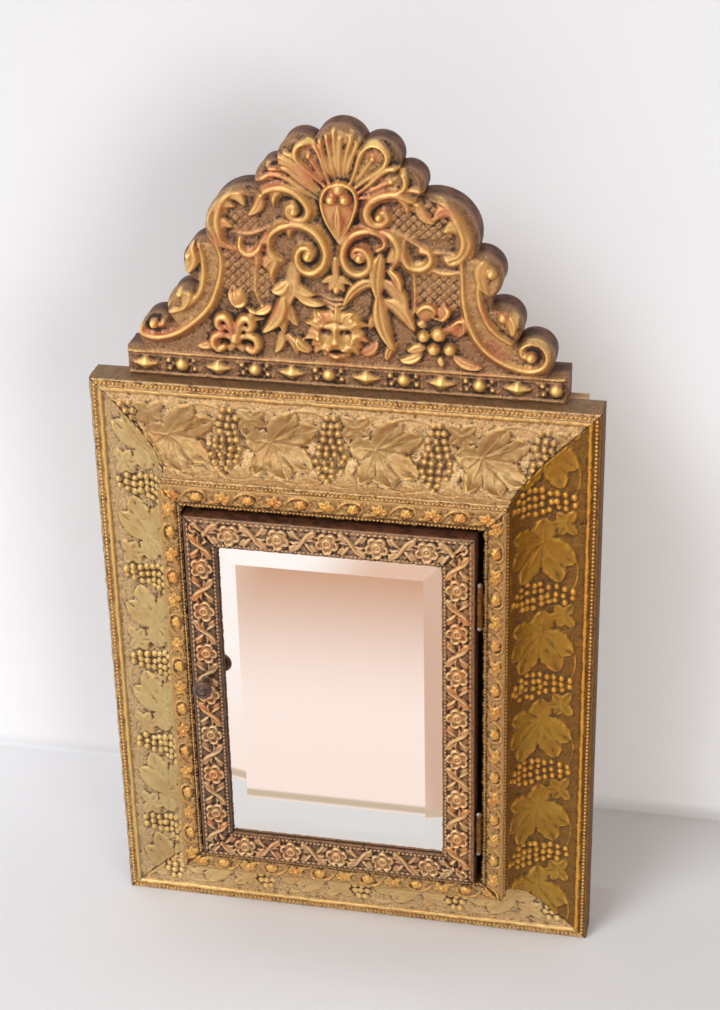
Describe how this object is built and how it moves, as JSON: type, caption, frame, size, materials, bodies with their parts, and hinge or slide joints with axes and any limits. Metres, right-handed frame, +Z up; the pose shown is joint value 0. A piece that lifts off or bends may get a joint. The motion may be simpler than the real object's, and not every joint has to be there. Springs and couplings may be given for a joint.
{
  "type": "wall mirror cabinet",
  "caption": "Shallow wall cabinet behind a deep brass-covered moulded frame, with a bevelled mirror in its hinged door, a turned latch knob and a scalloped crest on top.",
  "frame": {"origin": "bottom centre of the whole piece: x and y at the middle of its box, z at the underside of the frame and the box behind it", "axes": "+X to the right seen from the front, +Y back to the wall, +Z up"},
  "size_m": [0.31, 0.1164, 0.544],
  "materials": {
    "box_wood": "plain old softwood, waxed",
    "core_wood": "bare softwood under the brass",
    "pressed_brass": "pressed sheet with a dark patina in its hollows",
    "door_brass": "pressed sheet, darkened to brown bronze",
    "hardware_brass": "aged, satin",
    "steel": "worn",
    "mirror": "silvered, bevelled edge",
    "knob_brown": "turned, dark polish"
  },
  "bodies": {
    "cabinet": {"side_board_left": "box_wood", "side_board_right": "box_wood", "top_board": "box_wood", "bottom_board": "box_wood", "back_board": "box_wood", "back_nails": "steel", "frame_rail_top": "core_wood", "frame_rail_bottom": "core_wood", "frame_stile_left": "core_wood", "frame_stile_right": "core_wood", "frame_cover_top": "pressed_brass", "frame_cover_bottom": "pressed_brass", "frame_cover_left": "pressed_brass", "frame_cover_right": "pressed_brass", "border_strip_top": "pressed_brass", "border_strip_bottom": "pressed_brass", "border_strip_left": "pressed_brass", "border_strip_right": "pressed_brass", "frame_nails": "hardware_brass", "door_stops": "box_wood", "brush_hooks": "hardware_brass", "hinge_leaf_frame_upper": "hardware_brass", "hinge_leaf_frame_lower": "hardware_brass", "hinge_pin_upper": "steel", "hinge_pin_lower": "steel", "hinge_screws_frame": "hardware_brass", "crest_core": "core_wood", "crest_cover": "pressed_brass", "crest_batten": "box_wood", "crest_screws": "steel", "hanger_plate_left": "hardware_brass", "hanger_plate_right": "hardware_brass", "hanger_screws": "hardware_brass"},
    "door": {"door_rail_top": "core_wood", "door_rail_bottom": "core_wood", "door_stile_left": "core_wood", "door_stile_right": "core_wood", "door_cover_top": "door_brass", "door_cover_bottom": "door_brass", "door_cover_left": "door_brass", "door_cover_right": "door_brass", "mirror_glass": "mirror", "mirror_backing": "box_wood", "glazing_sprigs": "steel", "door_nails": "hardware_brass", "hinge_leaf_door_upper": "hardware_brass", "hinge_leaf_door_lower": "hardware_brass", "hinge_screws_door": "hardware_brass", "knob_rose": "knob_brown", "latch_washer": "hardware_brass"},
    "latch": {"knob": "knob_brown", "latch_tongue": "hardware_brass", "latch_nut": "hardware_brass"}
  },
  "joints": [
    {"name": "door_hinge", "type": "hinge", "parent": "cabinet", "child": "door", "pos_m": [0.0896, -0.03895, 0.1865], "axis": [0, 0, 1], "range_deg": [0, 120]},
    {"name": "knob_turn", "type": "hinge", "parent": "door", "child": "latch", "pos_m": [-0.079, -0.03175, 0.202], "axis": [0, -1, 0], "range_deg": [0, 90]}
  ]
}
